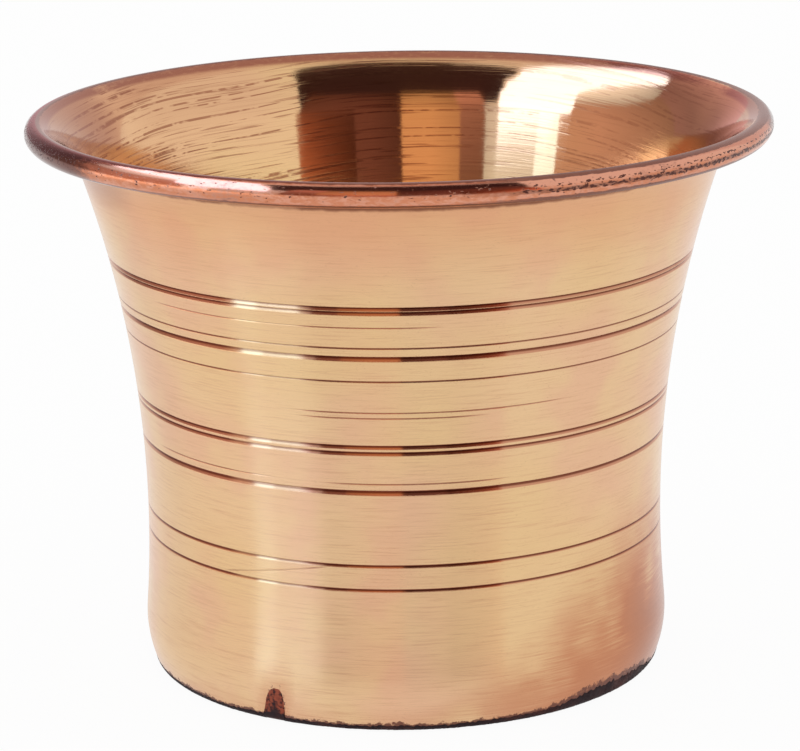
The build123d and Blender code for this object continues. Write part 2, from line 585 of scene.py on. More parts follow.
class Bench:
    """Where one material's nodes are put together."""

    def __init__(self, name: str) -> None:
        """Start a material with a Principled shader."""
        self.material = bpy.data.materials.new(name)
        self.material.use_nodes = True
        self.tree = self.material.node_tree
        self.shader = self.tree.nodes["Principled BSDF"]
        self.place = self.node("ShaderNodeTexCoord", {}, {}, "Object")

    def node(
        self,
        kind: str,
        settings: dict[str, object],
        inputs: dict[str | int, Signal | float | tuple],
        output: str | int = 0,
    ) -> Signal:
        """Add a node.

        Args:
            kind: the node's type.
            settings: properties, set before the inputs.
            inputs: a value or a signal for each named or numbered input.
            output: which output to give back.

        Returns:
            The chosen output.
        """
        made = self.tree.nodes.new(kind)
        for name, value in settings.items():
            setattr(made, name, value)
        for key, value in inputs.items():
            self.connect(made.inputs[key], value)
        return Signal(self, made.outputs[output])

    def connect(self, socket: bpy.types.NodeSocket, value: Signal | float | tuple) -> None:
        """Link a signal to a socket, or set the socket's own value."""
        if isinstance(value, Signal):
            self.tree.links.new(value.socket, socket)
        elif isinstance(value, tuple) and len(value) == 3 and socket.type == "RGBA":
            socket.default_value = (*value, 1.0)
        else:
            socket.default_value = value

    def zone(self, zone: Zone) -> Signal:
        """The numbers that the piece keeps for a zone."""
        settings = {"attribute_type": "GEOMETRY", "attribute_name": zone.value}
        return self.node("ShaderNodeAttribute", settings, {}, "Fac")

    def vector(self, operation: str, first: Signal, second: Signal | tuple) -> Signal:
        """Add one Vector Math node."""
        return self.node("ShaderNodeVectorMath", {"operation": operation}, {0: first, 1: second})

    def around(self, turn: float, climb: float, drift: float = 0.0) -> Signal:
        """Place on a round piece, for patterns that run round it.

        Args:
            turn: pattern units from the axis to the circle that the angle is laid on.
            climb: pattern units to a millimetre along the section.
            drift: millimetres by which the pattern wanders up and down on its way round.

        Returns:
            A vector with the angle as a circle in its first two parts, and the place along the
            section in its third.
        """
        flat = self.vector("MULTIPLY", self.place, (1.0, 1.0, 0.0))
        circle = self.vector("NORMALIZE", flat, (0.0, 0.0, 0.0))
        circle = self.vector("MULTIPLY", circle, (turn, turn, 0.0))
        level = self.zone(Zone.ALONG) * climb
        if drift:
            wander = self.noise(self.vector("MULTIPLY", self.place, (40.0, 40.0, 12.0)), 1.0, 0.0)
            level = level + wander * (drift * climb * 4.0)
        rise = self.node("ShaderNodeCombineXYZ", {}, {2: level})
        return self.vector("ADD", circle, rise)

    def noise(self, where: Signal, scale: float, detail: float, roughness: float = 0.5) -> Signal:
        """Noise from 0 to 1 at a place."""
        inputs = {"Vector": where, "Scale": scale, "Detail": detail, "Roughness": roughness}
        return self.node("ShaderNodeTexNoise", {"normalize": True}, inputs, "Fac")

    def spots(self, where: Signal, share: float, size: float) -> Signal:
        """Scattered round spots.

        Args:
            where: place in pattern units, one spot to a unit.
            share: share of the spots that are there.
            size: radius of a spot in pattern units.

        Returns:
            1 in a spot, fading to 0 at its edge.
        """
        near = self.node("ShaderNodeTexVoronoi", {}, {"Vector": where}, "Distance")
        pick = Signal(self, near.socket.node.outputs["Color"])
        chosen = self.node("ShaderNodeSeparateColor", {}, {0: pick}).step(share, share - 0.01)
        return near.step(size, size * 0.5) * chosen

    def band(self, place: Signal, middle: float, half: float, soft: float) -> Signal:
        """1 within a half width of the middle, falling to 0 over the soft width."""
        return abs(place - middle).step(half + soft, half)

    def mix(self, share: Signal | float, first: Signal | Colour, second: Signal | Colour) -> Signal:
        """Blend two colours: the first where share is 0 and the second where it is 1."""
        settings = {"data_type": "RGBA", "blend_type": "MIX", "clamp_factor": True}
        return self.node("ShaderNodeMix", settings, {0: share, 6: first, 7: second}, 2)

    def bump(self, height: Signal, distance: float, before: Signal | None = None) -> Signal:
        """Turn a height from 0 to 1 into a normal.

        Args:
            height: the height.
            distance: what a height of 1 stands for, in millimetres.
            before: a normal that this one is laid on.

        Returns:
            The normal.
        """
        inputs: dict[str | int, Signal | float] = {"Height": height, "Distance": distance * MM}
        if before is not None:
            inputs["Normal"] = before
        return self.node("ShaderNodeBump", {}, inputs)

    def finish(
        self,
        colour: Signal,
        roughness: Signal | float,
        metallic: Signal | float,
        normal: Signal,
        anisotropy: float,
    ) -> bpy.types.Material:
        """Feed the shader and give back the material.

        Args:
            colour: base colour.
            roughness: roughness.
            metallic: 1 for bare metal and 0 for crust.
            normal: bumped normal.
            anisotropy: how far highlights stretch across the brushing, the same all over.

        Returns:
            The finished material.
        """
        for name, value in {
            "Base Color": colour,
            "Roughness": roughness,
            "Metallic": metallic,
            "Normal": normal,
            "Anisotropic": anisotropy,
            "Anisotropic Rotation": 0.25,
        }.items():
            self.connect(self.shader.inputs[name], value)
        return self.material


@dataclass(frozen=True)
class SpunCopper:
    """Finish of the wall: brushed outside, turned inside, pitted and browned on the rim."""

    pale: Colour = (0.79, 0.53, 0.30)
    pink: Colour = (0.775, 0.475, 0.295)
    gold: Colour = (0.775, 0.525, 0.265)
    streak: Colour = (0.64, 0.36, 0.205)
    inner: Colour = (0.76, 0.455, 0.25)
    inner_gold: Colour = (0.80, 0.53, 0.26)
    salmon: Colour = (0.60, 0.22, 0.12)
    rose: Colour = (0.68, 0.31, 0.21)
    line_red: Colour = (0.50, 0.20, 0.12)
    orange: Colour = (0.72, 0.33, 0.16)
    handled: Colour = (0.38, 0.155, 0.095)
    scratch: Colour = (0.30, 0.10, 0.05)
    # Also the colour of painted shade: in the crevice under the rim, on the roll, and fading up from
    # the foot's shadow band.
    tarnish: Colour = (0.17, 0.045, 0.024)
    umber: Colour = (0.125, 0.055, 0.05)
    soot: Colour = (0.10, 0.028, 0.02)
    heat_red: Colour = (0.55, 0.225, 0.115)
    outer_roughness: float = 0.235
    inner_roughness: float = 0.085
    bead_roughness: float = 0.13
    cut_roughness: float = 0.15

    def material(self) -> bpy.types.Material:
        """Build the node material.

        Returns:
            The material, which reads Object coordinates and the wall's zones.
        """
        bench = Bench("spun_copper")
        inside, bead, cut = (bench.zone(zone) for zone in (Zone.INSIDE, Zone.BEAD, Zone.CUT))
        level = bench.node("ShaderNodeSeparateXYZ", {}, {0: bench.place}, 2) / MM

        brushing = bench.noise(bench.around(6.0, 6.5), 1.0, 2.0, 0.6)
        clouds = bench.noise(bench.place, 120.0, 2.0)
        hue = bench.noise(bench.place, 48.0, 1.0)
        colour = bench.mix(clouds.step(0.38, 0.64), self.pale, self.pink)
        colour = bench.mix(hue.step(0.46, 0.7) * 0.7, colour, self.gold)
        colour = bench.mix(brushing.step(0.48, 0.8) * 0.5, colour, self.streak)
        below_lip = level + clouds * 4.0
        colour = bench.mix(below_lip.step(46.0, 55.5) * 0.55, colour, self.orange)

        heat = bench.zone(Zone.HEAT) * (clouds * 0.7 + brushing * 0.3).step(0.2, 0.6)
        colour = bench.mix(heat, colour, self.heat_red)
        colour = bench.mix((heat - 0.9) * 1.1, colour, self.handled)
        grain = bench.noise(bench.place, 1500.0, 3.0, 0.7)
        # Painted shade: darker fading up from the black shadow band along the foot, and soot round
        # the filler run.
        soot = (bench.zone(Zone.FOOT_SHADE_AND_SOOT) * 0.62 + grain).step(0.84, 1.0)
        colour = bench.mix(soot * 0.9, colour, self.tarnish)
        specks = bench.spots(bench.around(30.0, 1.2), 0.10, 0.24)
        specks = specks.larger(bench.spots(bench.around(52.0, 2.0), 0.07, 0.3))
        colour = bench.mix(specks * 0.6, colour, self.scratch)

        lining = bench.mix(hue.step(0.42, 0.66), self.inner, self.inner_gold)
        scores, marks = self.turning_marks(bench)
        across = bench.node("ShaderNodeSeparateXYZ", {}, {0: bench.place}, 0) / MM
        # Painted highlight: between about 16 and 10 mm left of the axis the turned lines keep the
        # pale copper and less dirt, so that the window's reflection shows white in them.
        highlight_band = bench.band(across, -13.2, 2.8, 1.6)
        marks = marks * (1.0 - across.step(-2.0, 14.0) * 0.6)
        lining = bench.mix(marks, lining, self.scratch)
        colour = bench.mix(inside, colour, lining)

        # Painted shade: the wall darkens above a ragged line just under the rim's roll, for the
        # shadow in the crevice there.
        ragged = level + bench.noise(bench.around(26.0, 0.5), 1.0, 2.0) * 0.4
        crevice_shade = ragged.step(54.0, 54.4) * (1.0 - inside) * (1.0 - bead)
        # Dirt in the turned lines, joined with the painted crevice shade.
        dirt = bench.zone(Zone.DIRT).larger(crevice_shade * 0.9)
        # The turned lines are red, but for the painted highlight band.
        colour = bench.mix(cut * (1.0 - highlight_band) * 0.8, colour, self.line_red)
        colour = bench.mix(dirt * (0.94 - highlight_band * 0.35), colour, self.tarnish)
        right = across.step(3.0, 14.0)
        colour, wear, lines = self.rim_wear(bench, colour, bead, level, right)
        # The foot's painted shade, the dark bands on the roll's right and its pits are dull, not bare
        # metal.
        dull = (soot * (1.0 - inside) * 0.75).larger(lines * right * 0.6).larger(wear * 0.3)

        roughness = self.outer_roughness + inside * (self.inner_roughness - self.outer_roughness)
        roughness = roughness + bead * (self.bead_roughness - self.outer_roughness)
        roughness = roughness + cut * (self.cut_roughness - self.outer_roughness)
        roughness = roughness + (brushing - 0.5) * 0.08 + marks * inside * 0.12
        roughness = roughness + wear.larger(dull) * 0.2

        normal = bench.bump(brushing * (1.0 - inside) * (1.0 - bead), 0.004)
        normal = bench.bump(scores * inside, 0.008, normal)
        normal = bench.bump(1.0 - wear, 0.05, normal)
        return bench.finish(colour, roughness, 1.0 - dull, normal, 1.0)

    def turning_marks(self, bench: Bench) -> tuple[Signal, Signal]:
        """Marks that the tool left inside: long arcs, and short broken dashes between them.

        Args:
            bench: the material's bench.

        Returns:
            How high the scored surface stands, and how brown it is. Both come from noise that is
            stretched along the circle and drifts slowly up and down it.
        """
        fine = bench.noise(bench.around(1.6, 4.6, 0.5), 1.0, 2.0, 0.6)
        arcs = bench.noise(bench.around(1.0, 2.5, 1.3), 1.0, 1.0, 0.4).step(0.60, 0.67)
        dashes = bench.noise(bench.around(4.6, 4.2, 0.9), 1.0, 1.0, 0.5).step(0.60, 0.70)
        broken = bench.noise(bench.around(15.0, 0.8), 1.0, 2.0, 0.7).step(0.38, 0.54)
        brown = (arcs * broken).larger(dashes * 0.75) + fine.step(0.5, 0.75) * 0.35
        return fine - brown * 0.35, brown * 0.75

    def rim_wear(
        self, bench: Bench, colour: Signal, bead: Signal, level: Signal, right: Signal
    ) -> tuple[Signal, Signal, Signal]:
        """Salmon, brown patina, dark lines, painted shade and pits of the rolled rim.

        Args:
            bench: the material's bench.
            colour: the wall's colour without them.
            bead: 1 on the roll.
            level: height in millimetres.
            right: 1 on the right, where the roll has more dark lines.

        Returns:
            The colour with them, where the pits are, and where the dark lines are.
        """
        mottle = bench.noise(bench.around(34.0, 2.2), 1.0, 3.0, 0.7)
        patina = bench.zone(Zone.PATINA)
        brown = (patina * 1.5 - 0.9 + mottle).step(0.1, 0.75)
        holes = bench.noise(bench.around(76.0, 4.6), 1.0, 2.0, 0.6)
        wear = (bench.zone(Zone.PITS) * 0.26 + holes).step(0.68, 0.76) * bead
        turned = bench.zone(Zone.ROLL) + (mottle - 0.5) * 22.0
        # Dark bands round the roll: those at its top edge and along its underside by the crevice are
        # painted shade; on the right, two more dark lines across it.
        lines = bench.band(turned, 3.0, 18.0, 7.0).larger(bench.band(turned, 144.0, 6.0, 8.0))
        more = bench.band(turned, 29.0, 6.0, 5.0).larger(bench.band(turned, 92.0, 6.0, 7.0) * 0.6)
        lines = lines.larger(more.larger(bench.band(turned, 143.0, 16.0, 6.0)) * right)
        ridge = bench.band(turned, 52.0, 14.0, 12.0)
        metal = bench.mix(mottle.step(0.42, 0.62).larger(ridge), self.salmon, self.rose)
        colour = bench.mix(bead * 0.94, colour, metal)
        lip = level.step(56.5, 56.95)
        # At the left end this brown is partly handling and partly, on the lip's inside, a painted
        # reflection of a darker part of the room.
        handled = (patina.step(0.4, 1.0) * 0.6).larger(lip * (patina + mottle * 0.5).step(0.5, 0.9))
        colour = bench.mix(handled * (1.0 - bead), colour, self.handled)
        colour = bench.mix(bead * brown * 0.9, colour, self.umber)
        # Painted shade and dark lines on the roll.
        colour = bench.mix(lines * 0.88, colour, self.tarnish)
        return bench.mix(wear, colour, self.soot), wear, lines


@dataclass(frozen=True)
class DrawnWire:
    """Finish of the rim's wire: dull drawn copper."""

    bright: Colour = (0.62, 0.33, 0.21)
    dull: Colour = (0.38, 0.18, 0.12)
    roughness: float = 0.42

    def material(self) -> bpy.types.Material:
        """Build the node material, with draw marks that run along the wire."""
        bench = Bench("drawn_wire")
        marks = bench.noise(bench.place, 420.0, 3.0, 0.6)
        colour = bench.mix(marks.step(0.35, 0.7), self.bright, self.dull)
        roughness = self.roughness + (marks - 0.5) * 0.2
        return bench.finish(colour, roughness, 1.0, bench.bump(marks, 0.01), 0.0)


@dataclass(frozen=True)
class SatinBase:
    """Finish of the base: turned rings, a little tarnish, and heat colours near its edge."""

    copper: Colour = (0.72, 0.43, 0.28)
    brown: Colour = (0.42, 0.20, 0.13)
    red: Colour = (0.55, 0.21, 0.13)
    roughness: float = 0.30

    def material(self) -> bpy.types.Material:
        """Build the node material, with fine rings about the axis."""
        bench = Bench("satin_base")
        rings = bench.noise(bench.around(2.5, 6.0), 1.0, 4.0, 0.7)
        clouds = bench.noise(bench.place, 90.0, 4.0, 0.6)
        edge = bench.zone(Zone.ALONG)
        colour = bench.mix(clouds.step(0.45, 0.75) * 0.7, self.copper, self.brown)
        colour = bench.mix(rings.step(0.6, 0.85) * 0.35, colour, self.brown)
        colour = bench.mix((edge + clouds * 5.0).step(20.0, 26.0) * 0.8, colour, self.red)
        roughness = self.roughness + clouds * 0.12 + (rings - 0.5) * 0.15
        return bench.finish(colour, roughness, 1.0, bench.bump(rings, 0.012), 0.7)


@dataclass(frozen=True)
class BrazeFiller:
    """Finish of the filler, and of the painted shadow band along the foot: dull, dark and scaly."""

    metal: Colour = (0.10, 0.035, 0.03)
    scale: Colour = (0.022, 0.009, 0.012)
    rust: Colour = (0.37, 0.085, 0.045)

    def material(self) -> bpy.types.Material:
        """Build the node material, black but for the upper part of the run."""
        bench = Bench("braze_filler")
        scaly = bench.noise(bench.place, 900.0, 4.0, 0.65)
        broad = bench.noise(bench.place, 260.0, 2.0, 0.6)
        run = bench.zone(Zone.CRUST)
        grain = bench.noise(bench.place, 2600.0, 2.0, 0.6)
        colour = bench.mix(broad.step(0.5, 0.8), self.scale, self.metal)
        red = (run + (grain - 0.5) * 0.5).step(1.25, 1.7) * grain.step(0.3, 0.6)
        colour = bench.mix(red, colour, self.rust)
        roughness = 0.5 + scaly * 0.35
        bench.connect(bench.shader.inputs["Specular IOR Level"], 0.2)
        return bench.finish(colour, roughness, 0.0, bench.bump(scaly, 0.06), 0.0)


@dataclass
class Wall:
    """The spun sheet: waisted wall, flared mouth and the curl over the wire."""

    section: CupSection
    foot_edge: FootEdge
    columns: int = 240
    row_step: float = 0.95
    wobble: float = 0.012  # how far hand spinning leaves the wall out of round

    def heights(self, lines: list[TurnedLine]) -> np.ndarray:
        """Heights of the outside's rows: evenly spaced, and close together across each line."""
        even = np.arange(0.0, self.section.height, self.row_step)
        wanted = np.unique(np.concatenate([line.heights() for line in lines]))
        far = np.min(np.abs(even[:, None] - wanted[None, :]), axis=1) > self.row_step / 3.0
        rows = np.sort(np.concatenate([even[far], wanted]))
        keep = np.concatenate([[True], np.diff(rows) > 0.018])
        return rows[keep]

    def build(self) -> bpy.types.Object:
        """Work out the whole sheet as one closed grid.

        The section's points are carried round the axis. On the outside each point is moved in
        along its normal by the deepest turned line there. Both faces share a slow wobble.

        Returns:
            The piece, with its zones.
        """
        lines = turned_lines()
        outer = self.section.outside(self.heights(lines))
        inner = self.section.inside(58)
        points = np.concatenate([outer.points, inner.points])
        normals = np.concatenate([outer.normals, inner.normals])
        outwards = np.arange(len(points)) < len(outer.points)
        angle = np.linspace(-math.pi, math.pi, self.columns, endpoint=False)[None, :]
        heights = points[:, 1][:, None]
        degrees = np.degrees(angle)
        on_sweep = outwards & (points[:, 1] < self.section.height - self.section.lip_depth)
        lean = self.section.lean(heights)
        depth = dirt = np.zeros((1, 1))
        for line in lines:
            share, strength = line.share_at(degrees, heights), line.strength_at(degrees)
            depth = np.maximum(depth, line.tool.depth_at(share, lean) * strength)
            dirt = np.maximum(dirt, line.tool.dirt_at(share) * strength)
        depth, dirt = depth * on_sweep[:, None], dirt * on_sweep[:, None]
        slow = ripple(angle + heights * 0.02, 5, (3, 5, 8)) * self.wobble
        slow = slow * smooth_step(7.0, 14.0, heights) * smooth_step(50.0, 44.0, heights)
        radius = points[:, 0][:, None] - normals[:, 0][:, None] * depth + slow
        rise = heights - normals[:, 1][:, None] * depth
        piece = grid_mesh("wall_sheet", spin(radius, rise, angle), closed_rows=True)

        from_curl = np.linalg.norm(points - self.section.curl_centre, axis=1)
        above = normals @ np.array([-0.5, 0.866])
        roll = (from_curl < self.section.curl + 0.01) * smooth_step(1.0, 0.8, above)
        roll, outwards = roll[:, None], outwards[:, None]
        steps = np.linalg.norm(np.diff(points, axis=0), axis=1)
        along = np.concatenate([[0.0], np.cumsum(steps)])[:, None]
        from_middle = points - self.section.curl_centre
        turned = np.degrees(np.arctan2(from_middle[:, 0], from_middle[:, 1]))[:, None]
        turned = np.where(turned < -120.0, turned + 360.0, turned)
        turned = np.where(from_curl[:, None] < self.section.curl + 0.01, turned, -90.0)
        wide = np.ones_like(angle)
        set_zone(piece, Zone.ALONG, along * wide)
        set_zone(piece, Zone.CUT, smooth_step(0.0, 0.03, depth))
        set_zone(piece, Zone.DIRT, dirt)
        set_zone(piece, Zone.BEAD, roll * wide)
        set_zone(piece, Zone.INSIDE, ~outwards * (1.0 - roll) * wide)
        set_zone(piece, Zone.HEAT, self.heat(degrees, heights) * outwards)
        set_zone(piece, Zone.FOOT_SHADE_AND_SOOT, self.soot(degrees, heights) * outwards)
        set_zone(piece, Zone.PATINA, self.patina(degrees) * smooth_step(46.0, 54.0, heights))
        set_zone(piece, Zone.ROLL, turned * wide)
        set_zone(piece, Zone.PITS, self.pits(degrees, turned) * roll)
        return piece

    def heat(self, degrees: np.ndarray, heights: np.ndarray) -> np.ndarray:
        """Red heat stain: highest to the right, low elsewhere, fading up to its top edge."""
        right = smooth_step(0.0, 62.0, degrees) * smooth_step(158.0, 112.0, degrees)
        behind = smooth_step(-178.0, -160.0, degrees) * smooth_step(-118.0, -138.0, degrees)
        top = 3.2 + 20.0 * right + 9.0 * behind
        edge = smooth_step(46.0, 70.0, degrees) * smooth_step(150.0, 120.0, degrees)
        strength = 0.30 + 0.66 * np.maximum(smooth_step(-6.0, 42.0, degrees), behind) + 0.5 * edge
        run = smooth_step(2.1, 1.1, self.foot_edge.run_reach(degrees, heights))
        return np.maximum(strength * smooth_step(top, 0.3 * top, heights), 0.6 * run)

    def soot(self, degrees: np.ndarray, heights: np.ndarray) -> np.ndarray:
        """Painted shade, 1 at the shadow band, gone a millimetre or so above; soot round the filler
        run.
        """
        over = heights - self.foot_edge.shadow_band_top(degrees)
        reach = 0.8 + 0.6 * np.exp(-(((degrees - 53.0) / 20.0) ** 4))
        run = smooth_step(1.35, 0.95, self.foot_edge.run_reach(degrees, heights))
        return np.maximum(smooth_step(reach, -0.1, over), 0.7 * run)

    def patina(self, degrees: np.ndarray) -> np.ndarray:
        """Brown of the rim: dark round the left end, middling behind and at the right end."""
        left = np.exp(-(((degrees + 84.0) / 35.0) ** 6))
        behind = 0.62 * smooth_step(98.0, 128.0, np.abs(degrees))
        right = 0.8 * np.exp(-(((degrees - 92.0) / 18.0) ** 4))
        mild = 0.27 + 0.12 * ripple(np.radians(degrees), 4, (5, 11, 17))
        return np.max(np.broadcast_arrays(left, behind, right, mild), axis=0)

    def pits(self, degrees: np.ndarray, turned: np.ndarray) -> np.ndarray:
        """Pits of the rim: two rows round the middle of the roll to the right, and few elsewhere."""
        rows = np.exp(-(((turned - 92.0) / 11.0) ** 2))
        rows = rows + 0.75 * np.exp(-(((turned - 66.0) / 7.0) ** 2))
        right = smooth_step(8.0, 30.0, degrees) * smooth_step(104.0, 84.0, degrees)
        left = 0.55 * np.exp(-(((degrees + 80.0) / 24.0) ** 4))
        return rows * (0.22 + 0.85 * right) + left * np.exp(-(((turned - 60.0) / 50.0) ** 2))


@dataclass
class RimWire:
    """The wire inside the rolled rim, bent to a ring whose two ends nearly meet."""

    section: CupSection
    butt_gap: float = 0.6
    steps_round: int = 300
    steps_across: int = 14

    def build(self) -> bpy.types.Object:
        """Carry a circle round the axis, and draw it in to a point at both ends.

        Returns:
            The piece: a ring of the wire's radius, short of a full turn by the butt gap.
        """
        ring_radius, ring_height = self.section.curl_centre
        turn = math.tau - self.butt_gap / ring_radius
        start = math.pi / 2.0
        angle = start - np.linspace(0.0, turn, self.steps_round)
        size = np.full(self.steps_round, self.section.wire_radius)
        angle = np.concatenate([[angle[0]], angle, [angle[-1]]])[:, None]
        size = np.concatenate([[1e-3], size, [1e-3]])[:, None]
        across = np.linspace(0.0, math.tau, self.steps_across, endpoint=False)[None, :]
        radius = ring_radius + size * np.cos(across)
        height = ring_height + size * np.sin(across)
        return grid_mesh("rim_wire_ring", spin(radius, height, angle), closed_rows=False)


@dataclass
class BaseDisc:
    """The base: a flat disc with turned rings and a centre mark underneath."""

    edge: float
    bottom: float
    top: float
    rings: tuple[float, ...] = (7.0, 12.5, 18.0)
    ring_width: float = 0.22
    ring_depth: float = 0.05
    mark_radius: float = 0.8
    mark_depth: float = 0.2
    columns: int = 192

    @classmethod
    def from_frame(cls) -> BaseDisc:
        """Read the disc's size from the frame."""
        low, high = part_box("base_disc")
        return cls(edge=high.x / MM, bottom=low.z / MM, top=high.z / MM)

    def build(self) -> bpy.types.Object:
        """Carry the disc's outline round the axis.

        Returns:
            The piece: the underside outwards, the edge, and the upper side back to the middle.
        """
        offsets = np.array([-1.1, -0.8, -0.4, 0.0, 0.4, 0.8, 1.1]) * self.ring_width / 2.0
        fine = [ring + offsets for ring in self.rings]
        even = np.arange(1.6, self.edge - 0.3, 0.9)
        radii = np.concatenate([[0.004, 0.25, 0.5, 0.78, 0.82, 1.2], even, *fine])
        radii = np.concatenate([np.unique(radii.round(3)), [self.edge - 0.06, self.edge]])
        across = np.abs(radii[:, None] - np.array(self.rings)) / (self.ring_width / 2.0)
        cut = self.ring_depth * np.max(np.clip(1.0 - across**2, 0.0, 1.0), axis=1)
        cut = cut + self.mark_depth * np.clip(1.0 - radii / self.mark_radius, 0.0, 1.0)
        cut[-1] = 0.05
        under = np.stack([radii, self.bottom + cut], axis=1)
        over = np.stack([radii[::-1], np.full(len(radii), self.top)], axis=1)
        over[0, 1] -= 0.05
        outline = np.concatenate([under, over])
        angle = np.linspace(-math.pi, math.pi, self.columns, endpoint=False)[None, :]
        grid = spin(outline[:, 0][:, None], outline[:, 1][:, None], angle)
        piece = grid_mesh("base_plate", grid, closed_rows=True)
        set_zone(piece, Zone.ALONG, outline[:, 0][:, None] * np.ones_like(angle))
        return piece


@dataclass
class BaseBraze:
    """The filler's ring in the foot's lap, and the painted shadow band and filler run along the foot.
    """

    section: CupSection
    base: BaseDisc
    foot_edge: FootEdge
    columns: int = 1200
    toe_reach: float = 1.3
    under_reach: float = 0.5

    def build_ring(self) -> bpy.types.Object:
        """Filler between the flange and the base, with its uneven fillets.

        Returns:
            The piece: a closed band whose toes creep in and out with the angle.
        """
        angle = np.linspace(-math.pi, math.pi, 360, endpoint=False)[None, :]
        wave = ripple(angle, 11, (5, 9, 14, 23, 37))
        ones = np.ones_like(angle)
        sheet, centre = self.section.sheet, self.section.foot_centre[0]
        edge, flange = self.base.edge, self.section.flange_edge
        top = self.base.top + 0.7 + 0.12 * wave
        wall_r, wall_z, _, _ = self.section.foot_face(top, sheet - 0.05)
        toe_r = edge - self.toe_reach * (1.0 + 0.3 * wave)
        under_r = flange - self.under_reach * (1.0 + 0.35 * wave)
        share = np.linspace(0.0, 1.0, 9)[:, None]
        fillet_r = wall_r * (1.0 - share) + toe_r * share
        fillet_z = self.base.top + (wall_z - self.base.top) * (1.0 - share) ** 2
        under_share = np.linspace(0.0, 1.0, 6)[:, None]
        lower_r = under_r * (1.0 - under_share) + (flange + 0.05) * under_share
        lower_z = self.base.bottom + 0.02 - (0.4 + 0.08 * wave) * under_share**2
        rows_r = [fillet_r, toe_r, under_r * ones, lower_r, flange * ones + 0.06]
        rows_z = [
            fillet_z,
            (self.base.top - 0.1) * ones,
            (self.base.bottom + 0.1) * ones,
            lower_z,
            (sheet - 0.05) * ones,
        ]
        bend_r, bend_z, _, _ = self.section.foot_face(np.linspace(0.0, 1.4, 9)[:, None], sheet - 0.05)
        rows_r.append(bend_r * ones)
        rows_z.append(bend_z * ones)
        radius, height = np.concatenate(rows_r), np.concatenate(rows_z)
        piece = grid_mesh("braze_ring", spin(radius, height, angle), closed_rows=True)
        set_zone(piece, Zone.CRUST, np.full(height.shape, 0.5))
        return piece

    def build_shadow_band_and_run(self) -> bpy.types.Object:
        """Painted shadow band along the foot, with the filler run, a little proud of the sheet.

        The grid runs from the table up the foot to the ragged top. Its skin stands out along the
        foot's normal and sinks below the sheet at both edges, and its back lies in the sheet.

        Returns:
            The piece, with the run's upper part as its zone.
        """
        angle = np.linspace(-math.pi, math.pi, self.columns, endpoint=False)[None, :]
        degrees = np.degrees(angle)
        share = np.linspace(0.0, 1.0, 24)[:, None]
        run = self.foot_edge.run_top(degrees)
        top = np.maximum(self.foot_edge.shadow_band_top(degrees), run)
        climb = 0.03 + share * (top - 0.03)
        lumps = ripple(angle + climb * 0.9, 21, (60, 95, 140, 230))
        bulge = smooth_step(0.0, 0.12, share) * smooth_step(1.0, 0.86, share)
        on_run = smooth_step(0.2, 0.8, run)
        skin = 0.05 * bulge * (1.0 + 0.5 * lumps + 0.6 * on_run) - 0.02
        radius, height, out, up = self.section.foot_face(climb)
        leaning = angle + np.radians(self.foot_edge.run_lean * climb * on_run)
        front = spin(radius + out * skin, height + up * skin, leaning)
        back = spin(radius - out * 0.25, height - up * 0.25, leaning)[::3][::-1]
        grid = np.concatenate([front, back])
        grid[..., 2] = np.maximum(grid[..., 2], 0.0)
        piece = grid_mesh("foot_shadow_band_and_run", grid, closed_rows=True)
        level = (1.0 + self.foot_edge.run_reach(np.degrees(leaning), climb)) * on_run
        level = level * smooth_step(0.5, 1.2, climb)
        set_zone(piece, Zone.CRUST, np.concatenate([level, level[::3][::-1]]))
        return piece


@dataclass(frozen=True)
class Card:
    """A reflection card: a patch of a big sphere round the cup, seen only in its metal."""

    name: str
    light: Colour
    azimuths: tuple[float, ...]  # degrees from the front, towards the right
    lows: tuple[float, ...]  # lowest elevation at each azimuth, in degrees
    highs: tuple[float, ...]
    distance: float = 1.5
    shares: tuple[float, ...] = (1.0,)  # share of the light at each azimuth
    high_share: float = 1.0  # share of it at the upper edge

    def build(self) -> bpy.types.Object:
        """Lay a grid between the low and the high edge, and light it.

        Returns:
            The card: points at the card's distance, at azimuths between the first and the last,
            and at elevations between the two edges.
        """
        azimuth = np.linspace(self.azimuths[0], self.azimuths[-1], 61)[None, :]
        low = np.interp(azimuth, self.azimuths, self.lows)
        high = np.interp(azimuth, self.azimuths, self.highs)
        share = np.linspace(0.0, 1.0, 13)[:, None]
        elevation = np.radians(low + (high - low) * share)
        flat = self.distance / MM * np.cos(elevation)
        rise = self.distance / MM * np.sin(elevation)
        card = grid_mesh(self.name, spin(flat, rise, np.radians(azimuth)), False, False)
        places = np.linspace(self.azimuths[0], self.azimuths[-1], len(self.shares))
        glow = np.interp(azimuth, places, self.shares) * (1.0 - share + share * self.high_share)
        set_zone(card, Zone.GLOW, glow)
        bench = Bench(self.name)
        colour = bench.mix(bench.zone(Zone.GLOW), (0.0, 0.0, 0.0), self.light)
        bench.connect(bench.shader.inputs["Base Color"], (0.0, 0.0, 0.0))
        bench.connect(bench.shader.inputs["Specular IOR Level"], 0.0)
        bench.connect(bench.shader.inputs["Roughness"], 1.0)
        bench.connect(bench.shader.inputs["Emission Color"], colour)
        bench.connect(bench.shader.inputs["Emission Strength"], 1.0)
        card.data.materials.append(bench.material)
        card.visible_camera = False
        card.visible_diffuse = False
        card.visible_shadow = False
        return card


